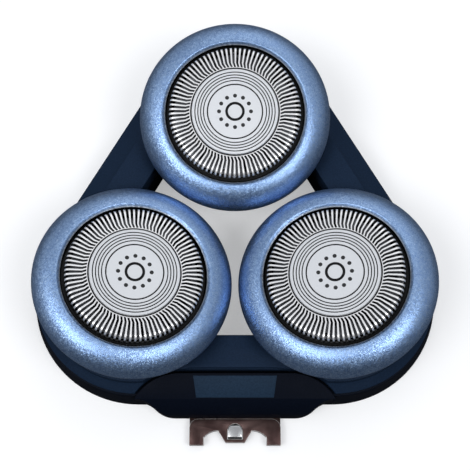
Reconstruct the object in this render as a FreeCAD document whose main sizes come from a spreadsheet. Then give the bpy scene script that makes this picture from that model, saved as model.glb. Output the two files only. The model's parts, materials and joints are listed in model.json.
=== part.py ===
"""Rotary shaver head: three tilting heads in a rounded triangular frame.

Millimetres, +Z up. The origin is on the frame's flat underside, at the centre
of the triangle. The single rear head lies towards +Y and the bracket that
fastens the unit towards -Y. Each head's pieces are drawn in the head's own
frame, whose origin is where the head's axis crosses its tilt axis, with x
pointing out of the triangle and z along the head's axis.
"""
import FreeCAD, Part
import math
import os
from types import SimpleNamespace

import Sketcher

# Directions from the frame's centre, in degrees
HEAD_ANGLES = {"rear": 90.0, "left": 210.0, "right": 330.0}
REAR_BEAM_ANGLES = (30.0, 150.0)
FRONT_BEAM_ANGLE = 270.0
BEAM_ANGLES = REAR_BEAM_ANGLES + (FRONT_BEAM_ANGLE,)
CORNER_HALF_ANGLE = 60.0
COS_30 = math.cos(math.radians(30.0))

SIZES = [
    ("fit_clearance", 0.05, "running clearance of pins, caps and rings"),
    ("guard_radius", 10.9, "slotted guard, outside"),
    ("guard_rise", 3.8, "rim to the top of the slotted track"),
    ("guard_wall", 0.35, "thickness of the guard's steel"),
    ("guard_shoulder", 0.8, "bevel between the track and the side"),
    ("guard_flange_width", 1.0, "guard's side to the edge of its flange"),
    ("guard_flange_thick", 0.5, "thickness of that flange"),
    ("track_width", 3.75, "width of the slotted track with its shoulder"),
    ("slot_count", 30, "slots round each guard"),
    ("slot_width", 0.7, "width of a slot"),
    ("slot_margin", 0.55, "disc's edge to the inner end of the slots"),
    ("slot_depth", 0.75, "track down to the lower end of the slots"),
    ("badge_thick", 0.35, "thickness of the plain disc in the guard"),
    ("badge_rise", 0.2, "disc's face above the slotted track"),
    ("boss_wall", 0.7, "wall of the centring boss under the guard"),
    ("boss_height", 1.0, "length of that boss"),
    ("blade_count", 15, "blades on each cutter"),
    ("blade_margin", 0.35, "guard's web to the inner end of the blades"),
    ("blade_thick", 0.45, "thickness of a blade"),
    ("blade_height", 2.1, "height of a blade"),
    ("blade_slant", 0.7, "lean of a blade over its height"),
    ("carrier_margin", 1.0, "blades to the inside of the blade ring"),
    ("carrier_gap", 0.35, "blade ring to the inside of the guard"),
    ("carrier_thick", 0.4, "thickness of the blade ring"),
    ("hub_overlap", 1.3, "width of the hub's disc under the blade ring"),
    ("hub_thick", 0.8, "thickness of that disc"),
    ("hub_stem_length", 5.4, "disc down to the end of the drive socket"),
    ("hub_window_angle", 40.0, "degrees, half the width of the hub's openings"),
    ("socket_radius", 2.2, "bore of the drive socket"),
    ("socket_depth", 4.5, "depth of the drive socket"),
    ("socket_wall", 1.2, "wall of the drive socket"),
    ("spigot_radius", 1.5, "pin that centres the hub in the guard"),
    ("spigot_gap", 0.3, "end of that pin to the guard's web"),
    ("cup_overlap", 0.6, "guard's bore to the outside of the head cup"),
    ("cup_wall", 1.3, "head cup, wall"),
    ("cup_depth", 3.0, "tilt axis down to the cup's lower edge"),
    ("cup_flange_thick", 0.7, "thickness of the flange under the trim ring"),
    ("cup_flange_cone", 0.9, "height of the cone under the flange"),
    ("tower_wall", 1.1, "wall of the tower that carries the trim ring"),
    ("float_travel", 1.25, "guard's flange down to the ledge that stops it"),
    ("pin_radius", 1.2, "tilt pins"),
    ("pin_length", 2.2, "outside of the cup to the end of each tilt pin"),
    ("rim_height", 7.3, "tilt axis to the trim ring's rim"),
    ("ring_gap", 0.5, "guard to the inner lip of the trim ring"),
    ("ring_hollow", 1.3, "tower to the inside of the trim ring"),
    ("ring_wall", 1.6, "thickness of the ring's lower wall"),
    ("ring_seat", 0.6, "width of the cup's flange under the ring"),
    ("ring_rise", 3.0, "rim to the top of the dome"),
    ("ring_dome", 5.0, "radius of the dome's section"),
    ("ring_lip", 0.6, "height of the bevel inside the crest"),
    ("ring_crest", 0.7, "inner lip to the dome's highest line"),
    ("ring_skirt", 1.0, "rim down to the ring's lower edge"),
    ("ring_spacing", 0.575, "gap between two trim rings at their rims"),
    ("lip_height", 1.7, "rim to the underside of the inner lip"),
    ("retainer_drop", 1.0, "guard's ledge down to the retaining ring"),
    ("retainer_flange", 1.35, "thickness of the ring over its lugs"),
    ("retainer_wall", 1.1, "wall of the retaining ring"),
    ("retainer_height", 2.6, "whole height of the retaining ring"),
    ("lug_overlap", 0.7, "width of ring that rests on the cup's lugs"),
    ("lug_thick", 0.8, "height of the cup's bayonet lugs"),
    ("lug_gap", 0.1, "play between lugs and retaining ring"),
    ("lug_half_angle", 11.0, "degrees, half the width of a lug"),
    ("notch_half_angle", 14.0, "degrees, half the width of a notch"),
    ("notch_turn_angle", 30.0, "degrees the ring turns to let go"),
    ("guide_gap", 1.2, "drive socket to the retaining ring's guide"),
    ("guide_wall", 1.0, "wall of that guide"),
    ("spoke_width", 1.6, "spokes of the retaining ring"),
    ("spoke_thick", 1.2, "height of those spokes"),
    ("grip_height", 1.3, "finger grips under the retaining ring"),
    ("spring_thick", 0.2, "thickness of the spring strip"),
    ("float_spring_gap", 0.2, "cup's bore to the float spring"),
    ("float_spring_width", 1.4, "width of the float spring's ring"),
    ("tilt_spring_half", 2.0, "half the width of a tilt spring"),
    ("rest_tilt_angle", 11.0, "degrees each head leans inwards at rest"),
    ("pivot_height", 6.6, "underside to the tilt axes"),
    ("seat_gap", 0.8, "head cup to the opening that it swings in"),
    ("plateau_width", 2.1, "frame's top face round each opening"),
    ("plateau_inset", 1.3, "tilt axes in to the plateau's arcs"),
    ("plateau_rise", 2.6, "tilt axes up to the frame's top face"),
    ("rim_width", 3.8, "opening to the upper frame's edge"),
    ("rim_thick", 0.8, "height of that edge"),
    ("corner_inset", 1.6, "tilt axes in to the frame's corner arcs"),
    ("skirt_flare", 1.1, "upper frame's edge to the skirt's foot"),
    ("skirt_taper_angle", 9.0, "degrees the skirt leans in"),
    ("slope_rise", 2.15, "height of the sloping band"),
    ("slope_angle", 60.0, "degrees from upright of the sloping band"),
    ("beam_outset", 2.5, "tilt axes out to the plateau's outer edge"),
    ("beam_width", 5.25, "width of the beams"),
    ("beam_flare", 8.0, "radius where a beam meets a head"),
    ("beam_wall", 1.75, "inner wall beside the hollow under a beam"),
    ("skirt_wall", 3.2, "outer wall beside that hollow"),
    ("hollow_half", 7.0, "half the length of that hollow"),
    ("hollow_depth", 3.6, "depth of that hollow"),
    ("shelf_reach", 3.4, "opening's wall in to the edge of a shelf"),
    ("shelf_root", 1.4, "opening's wall out to the shelf's end"),
    ("shelf_half", 3.0, "half the width of the tilt spring's shelf"),
    ("shelf_thick", 1.2, "thickness of that shelf"),
    ("lobe_half_rear", 9.0, "half the straight rear edge of the lobe"),
    ("lobe_half_front", 10.0, "half the straight front of the lobe"),
    ("lobe_flare", 6.4, "straight front to the lobe's corners"),
    ("lobe_setback", 0.7, "plateau's edge to the lobe's rear edge"),
    ("lobe_bite", 0.3, "skirt's foot in to the lobe's corners"),
    ("lobe_reach", 2.3, "skirt's foot out to the lobe's front"),
    ("lobe_drop", 1.7, "frame's top face down to the lobe's rear edge"),
    ("lobe_nose", 2.7, "lobe's front back to the panel's lower edge"),
    ("lobe_brow_drop", 1.8, "lobe's rear edge down to that edge"),
    ("lobe_nose_height", 1.2, "upright height of the lobe's front"),
    ("lobe_nose_radius", 4.6, "round over the lobe's front"),
    ("groove", 0.5, "gap between the lobe and the upper frame"),
    ("bracket_half", 7.55, "half the bracket's width"),
    ("bracket_sheet", 0.6, "thickness of the bracket's steel"),
    ("bracket_drop", 0.3, "underside of the frame to the bracket"),
    ("bracket_fold", 0.1, "gap between the bracket's two leaves"),
    ("bracket_root", 7.5, "lobe's front back to the bracket's rear end"),
    ("bracket_reach", 4.5, "lobe's front out to the bracket's front"),
    ("leaf_gap", 0.2, "lobe's front to the upper leaf's edge"),
    ("leaf_round", 1.5, "corners of the upper leaf"),
    ("leg_width", 2.35, "width of the bracket's legs"),
    ("leg_length", 1.3, "bracket's front back to the foot of an arch"),
    ("arch_height", 2.4, "bracket's front back to the tongue's root"),
    ("tongue_root", 1.55, "width of steel beside the slot at the root"),
    ("tongue_tip", 0.35, "width of steel beside the slot at the tip"),
    ("tongue_setback", 0.45, "bracket's front back to the tongue's tip"),
    ("catch_half", 1.25, "half the width of the tongue's slot"),
    ("catch_margin", 0.8, "upper leaf's edge to the slot"),
    ("catch_bridge", 0.55, "steel between the slot and the tongue's tip"),
    ("tab_gap", 0.1, "catch spring to the sides of its slot"),
    ("tab_proud", 0.35, "catch spring above the bracket"),
    ("tab_bevel", 0.25, "bevel round the top of the catch spring"),
    ("screw_radius", 0.8, "shank of the frame screws"),
    ("screw_head", 1.4, "head of the frame screws"),
    ("screw_head_thick", 0.8, "thickness of those heads"),
    ("screw_inset", 1.1, "plateau's edge in to the frame screws"),
    ("screw_bite", 3.6, "length of frame screw in the upper frame"),
    ("rivet_spread", 4.8, "centre line to the bracket's rivets"),
    ("rivet_setback", 3.9, "lobe's front back to the bracket's rivets"),
    ("rivet_head", 0.25, "thickness of the rivets' heads"),
    ("rivet_bite", 3.6, "length of rivet in the lower frame"),
]


class Amount:
    """A number together with the sheet formula that gives it."""

    def __init__(self, value, formula=None):
        self.value = float(value)
        self.formula = formula or f"{self.value:.9f}"

    def __add__(self, other):
        other = amount(other)
        return Amount(self.value + other.value, f"({self.formula} + {other.formula})")

    def __sub__(self, other):
        other = amount(other)
        return Amount(self.value - other.value, f"({self.formula} - {other.formula})")

    def __mul__(self, other):
        other = amount(other)
        return Amount(self.value * other.value, f"({self.formula} * {other.formula})")

    def __truediv__(self, other):
        other = amount(other)
        return Amount(self.value / other.value, f"({self.formula} / {other.formula})")

    def __rsub__(self, other):
        return amount(other) - self

    def __neg__(self):
        return self * -1.0

    __radd__ = __add__
    __rmul__ = __mul__


def amount(number):
    return number if isinstance(number, Amount) else Amount(number)


def root(square):
    return Amount(math.sqrt(square.value), f"sqrt({square.formula})")


def turned(distance, degrees, along=0.0):
    """The point at a distance in a direction, moved along the line across it."""
    cosine = math.cos(math.radians(degrees))
    sine = math.sin(math.radians(degrees))
    distance, along = amount(distance), amount(along)
    return distance * cosine - along * sine, distance * sine + along * cosine


def fill_sheet(doc):
    sheet = doc.addObject("Spreadsheet::Sheet", "Sizes")
    for row, (name, value, note) in enumerate(SIZES, start=1):
        sheet.set(f"A{row}", note)
        sheet.set(f"B{row}", str(value))
        sheet.setAlias(f"B{row}", name)
    doc.recompute()
    return SimpleNamespace(**{name: Amount(value, f"Sizes.{name}") for name, value, _ in SIZES})


DOC = FreeCAD.newDocument("rotary_shaver_head")
size = fill_sheet(DOC)

# Radii in a head's own frame, from the guard inwards and outwards
GUARD_INSIDE = size.guard_radius - size.guard_wall
BADGE_RADIUS = size.guard_radius - size.track_width
BADGE_RECESS = BADGE_RADIUS + size.fit_clearance
SLOT_INNER = BADGE_RADIUS + size.slot_margin
BLADE_INNER = BADGE_RECESS + size.guard_wall + size.blade_margin
BLADE_OUTER = GUARD_INSIDE - size.guard_shoulder - size.fit_clearance
CARRIER_INNER = BLADE_INNER - size.carrier_margin
HUB_STEM = size.socket_radius + size.socket_wall
GUARD_FLANGE = size.guard_radius + size.guard_flange_width
GUARD_BORE = GUARD_FLANGE + 2 * size.fit_clearance
CUP_RADIUS = GUARD_BORE + size.cup_overlap
CUP_BORE = CUP_RADIUS - size.cup_wall
TOWER_RADIUS = GUARD_BORE + size.tower_wall
RING_BORE = size.guard_radius + size.ring_gap
RING_INSIDE = TOWER_RADIUS + size.ring_hollow
RING_RADIUS = RING_INSIDE + size.ring_wall
PIN_REACH = CUP_RADIUS + size.pin_length
RETAINER_RADIUS = CUP_BORE - 2 * size.fit_clearance
RETAINER_NECK = RETAINER_RADIUS - size.lug_overlap
RETAINER_INNER = RETAINER_NECK - size.retainer_wall
GUIDE_INNER = HUB_STEM + size.guide_gap
GUIDE_OUTER = GUIDE_INNER + size.guide_wall

# Heights in a head's own frame, above its tilt axis
LIP_UNDERSIDE = size.rim_height + size.lip_height
TRACK_TOP = size.rim_height + size.guard_rise
TRACK_INSIDE = TRACK_TOP - size.guard_wall
BADGE_SEAT = TRACK_TOP + size.badge_rise - size.badge_thick
WEB_UNDERSIDE = BADGE_SEAT - size.guard_wall
FLANGE_TOP = LIP_UNDERSIDE - size.fit_clearance
FLANGE_UNDERSIDE = FLANGE_TOP - size.guard_flange_thick
CUP_LEDGE = FLANGE_UNDERSIDE - size.float_travel
BLADE_FOOT = TRACK_INSIDE - size.fit_clearance - size.blade_height
CARRIER_UNDERSIDE = BLADE_FOOT - size.carrier_thick
HUB_UNDERSIDE = CARRIER_UNDERSIDE - size.hub_thick
SOCKET_MOUTH = HUB_UNDERSIDE - size.hub_stem_length
RETAINER_TOP = CUP_LEDGE - size.retainer_drop
RETAINER_LEDGE = RETAINER_TOP - size.retainer_flange
RETAINER_FOOT = RETAINER_TOP - size.retainer_height

# Distances from the frame's centre
LEAN = math.radians(size.rest_tilt_angle.value)
PIVOT_RADIUS = ((RING_RADIUS + 0.5 * size.ring_spacing) / COS_30
                + size.rim_height * math.sin(LEAN))
SEAT_RADIUS = CUP_RADIUS + size.seat_gap
PLATEAU_RADIUS = SEAT_RADIUS + size.plateau_width
PLATEAU_CENTRE = PIVOT_RADIUS - size.plateau_inset
RIM_RADIUS = SEAT_RADIUS + size.rim_width
SKIRT_RADIUS = RIM_RADIUS + size.skirt_flare
CORNER_CENTRE = PIVOT_RADIUS - size.corner_inset
SKIRT_FOOT = 0.5 * CORNER_CENTRE + SKIRT_RADIUS
BEAM_OUTER = PIVOT_RADIUS + size.beam_outset
BEAM_INNER = BEAM_OUTER - size.beam_width
SCREW_DISTANCE = BEAM_OUTER - size.screw_inset
SHELF_INNER = PIVOT_RADIUS + SEAT_RADIUS - size.shelf_reach
LOBE_REAR = BEAM_OUTER + size.lobe_setback
LOBE_SIDE = SKIRT_FOOT - size.lobe_bite
LOBE_FRONT = SKIRT_FOOT + size.lobe_reach
LOBE_HALF_WIDTH = size.lobe_half_front + size.lobe_flare
BRACKET_REAR = LOBE_FRONT - size.bracket_root
BRACKET_FRONT = LOBE_FRONT + size.bracket_reach
BRACKET_LEAF = LOBE_FRONT + size.leaf_gap
RIVET_DISTANCE = LOBE_FRONT - size.rivet_setback
TONGUE_END = BRACKET_FRONT - size.tongue_setback
CATCH_REAR = BRACKET_LEAF + size.catch_margin
CATCH_FRONT = TONGUE_END - size.catch_bridge

# Heights of the frame, above its underside
SPLIT_HEIGHT = size.pivot_height - size.pin_radius - size.fit_clearance
PLATEAU_HEIGHT = size.pivot_height + size.plateau_rise
LOBE_TOP = PLATEAU_HEIGHT - size.lobe_drop
LOWER_LEAF_TOP = size.bracket_drop + size.bracket_sheet
UPPER_LEAF = LOWER_LEAF_TOP + size.bracket_fold
UPPER_LEAF_TOP = UPPER_LEAF + size.bracket_sheet


def new_body(label):
    body = DOC.addObject("PartDesign::Body", label)
    body.Label = label
    return body


def set_size(feature, name, length):
    """Give a feature's property its value and the formula behind it."""
    length = amount(length)
    setattr(feature, name, length.value)
    feature.setExpression(name, length.formula)


def new_sketch(body, role, name, offset=0.0):
    sketch = body.newObject("Sketcher::SketchObject", name)
    plane = next(item for item in body.Origin.OriginFeatures if item.Role == role)
    sketch.AttachmentSupport = [(plane, "")]
    sketch.MapMode = "FlatFace"
    offset = amount(offset)
    sketch.AttachmentOffset = FreeCAD.Placement(FreeCAD.Vector(0, 0, offset.value), FreeCAD.Rotation())
    sketch.setExpression("AttachmentOffset.Base.z", offset.formula)
    return sketch


def bind(sketch, constraint, formula):
    index = sketch.addConstraint(constraint)
    sketch.setExpression(f"Constraints[{index}]", formula)


def draw_edge(sketch, start, end, bend):
    """Draw one edge and return its geometry number and the index of its start point."""
    first = FreeCAD.Vector(start[0].value, start[1].value, 0)
    last = FreeCAD.Vector(end[0].value, end[1].value, 0)
    if bend is None:
        return sketch.addGeometry(Part.LineSegment(first, last)), 1
    side, radius = bend
    chord = last - first
    left = FreeCAD.Vector(-chord.y, chord.x, 0).normalize()
    reach = math.sqrt(radius.value ** 2 - (chord.Length / 2) ** 2)
    centre = (first + last) * 0.5 + left * (reach if side == "left" else -reach)
    if side == "right":
        first, last = last, first
    angles = [math.atan2(point.y - centre.y, point.x - centre.x) for point in (first, last)]
    circle = Part.Circle(centre, FreeCAD.Vector(0, 0, 1), radius.value)
    edge = sketch.addGeometry(Part.ArcOfCircle(circle, *angles))
    bind(sketch, Sketcher.Constraint("Radius", edge, radius.value), radius.formula)
    return edge, 1 if side == "left" else 2


def draw_outline(sketch, corners):
    """Draw a closed outline with every corner held by its own two sizes.

    A corner is (x, y), or (x, y, side, radius) where the edge that leaves it
    is an arc that turns to that side.
    """
    corners = [(amount(corner[0]), amount(corner[1]), *corner[2:]) for corner in corners]
    edges = []
    for corner, following in zip(corners, corners[1:] + corners[:1]):
        bend = (corner[2], amount(corner[3])) if len(corner) > 2 else None
        edges.append(draw_edge(sketch, corner, following, bend))
    for (edge, start), (following, entry) in zip(edges, edges[1:] + edges[:1]):
        sketch.addConstraint(Sketcher.Constraint("Coincident", edge, 3 - start, following, entry))
    for (edge, start), corner in zip(edges, corners):
        for kind, place in (("DistanceX", corner[0]), ("DistanceY", corner[1])):
            bind(sketch, Sketcher.Constraint(kind, edge, start, place.value), place.formula)


def draw_circle(sketch, centre, radius):
    x, y = amount(centre[0]), amount(centre[1])
    middle = FreeCAD.Vector(x.value, y.value, 0)
    edge = sketch.addGeometry(Part.Circle(middle, FreeCAD.Vector(0, 0, 1), radius.value))
    bind(sketch, Sketcher.Constraint("Radius", edge, radius.value), radius.formula)
    for kind, place in (("DistanceX", x), ("DistanceY", y)):
        bind(sketch, Sketcher.Constraint(kind, edge, 3, place.value), place.formula)


def revolve(body, name, corners):
    sketch = new_sketch(body, "XZ_Plane", f"{name}_section")
    draw_outline(sketch, corners)
    feature = body.newObject("PartDesign::Revolution", name)
    feature.Profile = sketch
    feature.ReferenceAxis = (sketch, ["V_Axis"])
    feature.Angle = 360.0
    body.Tip = feature
    return feature


def add(body, name, sketch, length, both_ways=False, taper=None):
    feature = body.newObject("PartDesign::Pad", name)
    feature.Profile = sketch
    set_size(feature, "Length", length)
    feature.Midplane = both_ways
    if taper is not None:
        set_size(feature, "TaperAngle", taper)
    body.Tip = feature
    return feature


def cut(body, name, sketch, length, both_ways=False):
    """Cut from a sketch in the direction that its plane faces."""
    feature = body.newObject("PartDesign::Pocket", name)
    feature.Profile = sketch
    set_size(feature, "Length", length)
    feature.Midplane = both_ways
    feature.Reversed = not both_ways
    body.Tip = feature
    return feature


def repeat(body, name, feature, count):
    """Repeat a feature evenly about the body's z axis."""
    pattern = body.newObject("PartDesign::PolarPattern", name)
    pattern.Originals = [feature]
    axis = next(item for item in body.Origin.OriginFeatures if item.Role == "Z_Axis")
    pattern.Axis = (axis, [""])
    pattern.Angle = 360.0
    count = amount(count)
    pattern.Occurrences = int(count.value)
    pattern.setExpression("Occurrences", count.formula)
    body.Tip = pattern
    return pattern


def add_prism(body, name, corners, bottom, height, taper=None):
    sketch = new_sketch(body, "XY_Plane", f"{name}_plan", bottom)
    draw_outline(sketch, corners)
    return add(body, name, sketch, height, taper=taper)


def cut_prism(body, name, corners, bottom, height):
    sketch = new_sketch(body, "XY_Plane", f"{name}_plan", bottom)
    draw_outline(sketch, corners)
    return cut(body, name, sketch, height)


def cut_hole(body, name, centre, radius, bottom, height):
    sketch = new_sketch(body, "XY_Plane", f"{name}_plan", bottom)
    draw_circle(sketch, centre, radius)
    return cut(body, name, sketch, height)


def sector(inner, outer, half_angle, middle=0.0):
    """The outline of a piece of a ring, centred on a direction."""
    near, far = middle - half_angle, middle + half_angle
    return [
        (*turned(inner, near),),
        (*turned(outer, near), "left", outer),
        (*turned(outer, far),),
        (*turned(inner, far), "right", inner),
    ]


def rectangle(near, far, half_width, direction=0.0):
    return [
        turned(near, direction, -half_width),
        turned(far, direction, -half_width),
        turned(far, direction, half_width),
        turned(near, direction, half_width),
    ]


def place_in_head(body, direction):
    """Lean a piece with its head, and set it on the head's tilt axis."""
    body.Placement = FreeCAD.Placement(
        FreeCAD.Vector(0, 0, size.pivot_height.value),
        FreeCAD.Rotation(FreeCAD.Vector(0, 0, 1), direction),
    ) * FreeCAD.Placement(
        FreeCAD.Vector(PIVOT_RADIUS.value, 0, 0),
        FreeCAD.Rotation(FreeCAD.Vector(0, 1, 0), -size.rest_tilt_angle.value),
    )


# Pieces of a head

def trim_ring(label):
    """The domed ring that frames a guard, snapped over the head cup."""
    body = new_body(label)
    rim, foot = size.rim_height, size.rim_height - size.ring_skirt
    revolve(body, f"{label}_shell", [
        (RING_RADIUS, rim, "left", size.ring_dome),
        (RING_BORE + size.ring_crest, rim + size.ring_rise),
        (RING_BORE, rim + size.ring_rise - size.ring_lip),
        (RING_BORE, LIP_UNDERSIDE),
        (TOWER_RADIUS, LIP_UNDERSIDE),
        (RING_INSIDE, rim + 0.2 * size.lip_height),
        (RING_INSIDE, foot),
        (RING_RADIUS - 0.3 * size.ring_wall, foot),
        (RING_RADIUS, rim - 0.4 * size.ring_skirt),
    ])
    return body


def head_cup(label):
    """The moulded cup that carries a head's pieces and its two tilt pins."""
    body = new_body(label)
    flange_top = size.rim_height - size.ring_skirt
    flange_foot = flange_top - size.cup_flange_thick
    seat_edge = RING_INSIDE + size.ring_seat
    revolve(body, f"{label}_wall", [
        (CUP_BORE, -size.cup_depth),
        (CUP_RADIUS, -size.cup_depth),
        (CUP_RADIUS, flange_foot - size.cup_flange_cone),
        (seat_edge, flange_foot),
        (seat_edge, flange_top),
        (TOWER_RADIUS, flange_top),
        (TOWER_RADIUS, LIP_UNDERSIDE),
        (GUARD_BORE, LIP_UNDERSIDE),
        (GUARD_BORE, CUP_LEDGE),
        (CUP_BORE, CUP_LEDGE),
    ])
    lug_foot = RETAINER_LEDGE - size.fit_clearance - size.lug_thick
    lug = add_prism(
        body, f"{label}_lug",
        sector(RETAINER_NECK + size.lug_gap, CUP_RADIUS - 0.5 * size.cup_wall,
               size.lug_half_angle.value),
        lug_foot, size.lug_thick)
    repeat(body, f"{label}_lugs", lug, 3)
    root_depth = CUP_RADIUS - 0.5 * size.cup_wall
    sketch = new_sketch(body, "XZ_Plane", f"{label}_pin_section", root_depth)
    draw_circle(sketch, (0, 0), size.pin_radius)
    pin = add(body, f"{label}_pin", sketch, PIN_REACH - root_depth)
    repeat(body, f"{label}_pins", pin, 2)
    return body


def guard_cap(label):
    """The pressed steel guard: a thin cap whose track is slotted all round."""
    body = new_body(label)
    bevel = size.guard_shoulder
    boss_bore = size.spigot_radius + 2 * size.fit_clearance
    boss = boss_bore + size.boss_wall
    boss_foot = WEB_UNDERSIDE - size.boss_height
    revolve(body, f"{label}_shell", [
        (0, BADGE_SEAT),
        (0, WEB_UNDERSIDE),
        (boss_bore, WEB_UNDERSIDE),
        (boss_bore, boss_foot),
        (boss, boss_foot),
        (boss, WEB_UNDERSIDE),
        (BADGE_RECESS + size.guard_wall, WEB_UNDERSIDE),
        (BADGE_RECESS + size.guard_wall, TRACK_INSIDE),
        (GUARD_INSIDE - bevel, TRACK_INSIDE),
        (GUARD_INSIDE, TRACK_INSIDE - bevel),
        (GUARD_INSIDE, FLANGE_UNDERSIDE),
        (GUARD_FLANGE, FLANGE_UNDERSIDE),
        (GUARD_FLANGE, FLANGE_TOP),
        (size.guard_radius, FLANGE_TOP),
        (size.guard_radius, TRACK_TOP - bevel),
        (size.guard_radius - bevel, TRACK_TOP),
        (BADGE_RECESS, TRACK_TOP),
        (BADGE_RECESS, BADGE_SEAT),
    ])
    slot = cut_prism(
        body, f"{label}_slot",
        rectangle(SLOT_INNER, size.guard_radius + size.guard_wall, 0.5 * size.slot_width),
        TRACK_TOP - size.slot_depth, size.slot_depth + size.guard_wall)
    repeat(body, f"{label}_slots", slot, size.slot_count)
    return body


def guard_badge(label):
    """The plain disc pressed into the middle of the guard."""
    body = new_body(label)
    top = BADGE_SEAT + size.badge_thick
    edge = 0.25 * size.badge_thick
    revolve(body, f"{label}_disc", [
        (0, BADGE_SEAT),
        (BADGE_RADIUS, BADGE_SEAT),
        (BADGE_RADIUS, top - edge),
        (BADGE_RADIUS - edge, top),
        (0, top),
    ])
    return body


def cutter_blades(label):
    """The steel ring with its leaning blades, ground to run under the guard."""
    body = new_body(label)
    ring_edge = GUARD_INSIDE - size.carrier_gap
    revolve(body, f"{label}_ring", [
        (CARRIER_INNER, CARRIER_UNDERSIDE),
        (ring_edge, CARRIER_UNDERSIDE),
        (ring_edge, BLADE_FOOT),
        (CARRIER_INNER, BLADE_FOOT),
    ])
    sketch = new_sketch(body, "YZ_Plane", f"{label}_blade_section", BLADE_INNER)
    half, lean = 0.5 * size.blade_thick, 0.5 * size.blade_slant
    tip = BLADE_FOOT + size.blade_height
    draw_outline(sketch, [
        (-half - lean, CARRIER_UNDERSIDE),
        (half - lean, CARRIER_UNDERSIDE),
        (half + lean, tip),
        (lean - half, tip),
    ])
    blade = add(body, f"{label}_blade", sketch, BLADE_OUTER - BLADE_INNER)
    repeat(body, f"{label}_all_blades", blade, size.blade_count)
    return body


def cutter_hub(label):
    """The moulded hub that turns the blades, with its drive socket below."""
    body = new_body(label)
    top = CARRIER_UNDERSIDE
    edge = CARRIER_INNER + size.hub_overlap
    spigot_top = WEB_UNDERSIDE - size.spigot_gap
    revolve(body, f"{label}_turned", [
        (size.socket_radius, SOCKET_MOUTH),
        (HUB_STEM, SOCKET_MOUTH),
        (HUB_STEM, HUB_UNDERSIDE),
        (edge, HUB_UNDERSIDE),
        (edge, top),
        (size.spigot_radius, top),
        (size.spigot_radius, spigot_top),
        (0, spigot_top),
        (0, SOCKET_MOUTH + size.socket_depth),
        (size.socket_radius, SOCKET_MOUTH + size.socket_depth),
    ])
    window = cut_prism(
        body, f"{label}_window",
        sector(HUB_STEM + size.hub_thick, CARRIER_INNER - 0.5 * size.hub_thick,
               size.hub_window_angle.value),
        HUB_UNDERSIDE - size.hub_thick, 3 * size.hub_thick)
    repeat(body, f"{label}_windows", window, 3)
    return body


def retaining_ring(label):
    """The bayonet ring that holds the cutter in the cup, turned by its grips."""
    body = new_body(label)
    revolve(body, f"{label}_rim", [
        (RETAINER_INNER, RETAINER_FOOT),
        (RETAINER_NECK, RETAINER_FOOT),
        (RETAINER_NECK, RETAINER_LEDGE),
        (RETAINER_RADIUS, RETAINER_LEDGE),
        (RETAINER_RADIUS, RETAINER_TOP),
        (RETAINER_INNER, RETAINER_TOP),
    ])
    notch = cut_prism(
        body, f"{label}_notch",
        sector(RETAINER_NECK, CUP_RADIUS, size.notch_half_angle.value,
               -size.notch_turn_angle.value),
        RETAINER_LEDGE, size.retainer_flange)
    repeat(body, f"{label}_notches", notch, 3)
    overlap = 0.5 * (RETAINER_NECK - RETAINER_INNER)
    spoke = add_prism(
        body, f"{label}_spoke",
        rectangle(0.5 * (GUIDE_INNER + GUIDE_OUTER), RETAINER_INNER + overlap,
                  0.5 * size.spoke_width),
        RETAINER_FOOT, size.spoke_thick)
    repeat(body, f"{label}_spokes", spoke, 3)
    sketch = new_sketch(body, "XY_Plane", f"{label}_guide_plan", RETAINER_FOOT)
    draw_circle(sketch, (0, 0), GUIDE_OUTER)
    draw_circle(sketch, (0, 0), GUIDE_INNER)
    add(body, f"{label}_guide", sketch, size.spoke_thick)
    grip = add_prism(
        body, f"{label}_grip",
        rectangle(GUIDE_OUTER, RETAINER_NECK - 0.5 * overlap, 0.5 * size.spoke_width,
                  CORNER_HALF_ANGLE),
        RETAINER_FOOT - size.grip_height, size.grip_height + size.spoke_thick)
    repeat(body, f"{label}_grips", grip, 3)
    return body


def float_spring(label):
    """The flat spring ring whose three leaves press the guard up."""
    body = new_body(label)
    seat = RETAINER_TOP
    outer = CUP_BORE - size.float_spring_gap
    inner = outer - size.float_spring_width
    revolve(body, f"{label}_ring", [
        (inner, seat),
        (outer, seat),
        (outer, seat + size.spring_thick),
        (inner, seat + size.spring_thick),
    ])
    top = FLANGE_UNDERSIDE - size.fit_clearance
    run = 0.9 * (top - seat)
    sketch = new_sketch(body, "YZ_Plane", f"{label}_leaf_section", GUARD_INSIDE)
    draw_outline(sketch, [
        (-run, seat),
        (-run + 3 * size.spring_thick, seat),
        (0, top - size.spring_thick),
        (2 * size.spring_thick, top - size.spring_thick),
        (2 * size.spring_thick, top),
        (0, top),
    ])
    leaf = add(body, f"{label}_leaf", sketch, outer - size.fit_clearance - GUARD_INSIDE)
    repeat(body, f"{label}_leaves", leaf, 3)
    return body


def tilt_spring(label):
    """The bent leaf that leans a head inwards, seated on the frame's shelf."""
    body = new_body(label)
    sketch = new_sketch(body, "XZ_Plane", f"{label}_section")
    thick = size.spring_thick
    seat = size.shelf_thick
    heel = SHELF_INNER + thick
    foot = PIVOT_RADIUS + SEAT_RADIUS - thick
    under_wall = CUP_RADIUS - 0.3 * size.cup_wall
    tip = PIVOT_RADIUS + under_wall * math.cos(LEAN) + size.cup_depth * math.sin(LEAN)
    tip_height = (size.pivot_height - size.cup_depth * math.cos(LEAN)
                  + (under_wall - 0.4 * size.cup_wall) * math.sin(LEAN) - size.fit_clearance)
    draw_outline(sketch, [
        (foot, seat),
        (foot, seat + thick),
        (heel + thick, seat + thick),
        (tip, tip_height - thick),
        (tip, tip_height),
        (tip - 2 * thick, tip_height),
        (heel - thick, seat + thick),
        (heel - thick, seat),
    ])
    add(body, f"{label}_leaf", sketch, 2 * size.tilt_spring_half, both_ways=True)
    return body


# Pieces of the frame

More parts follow.
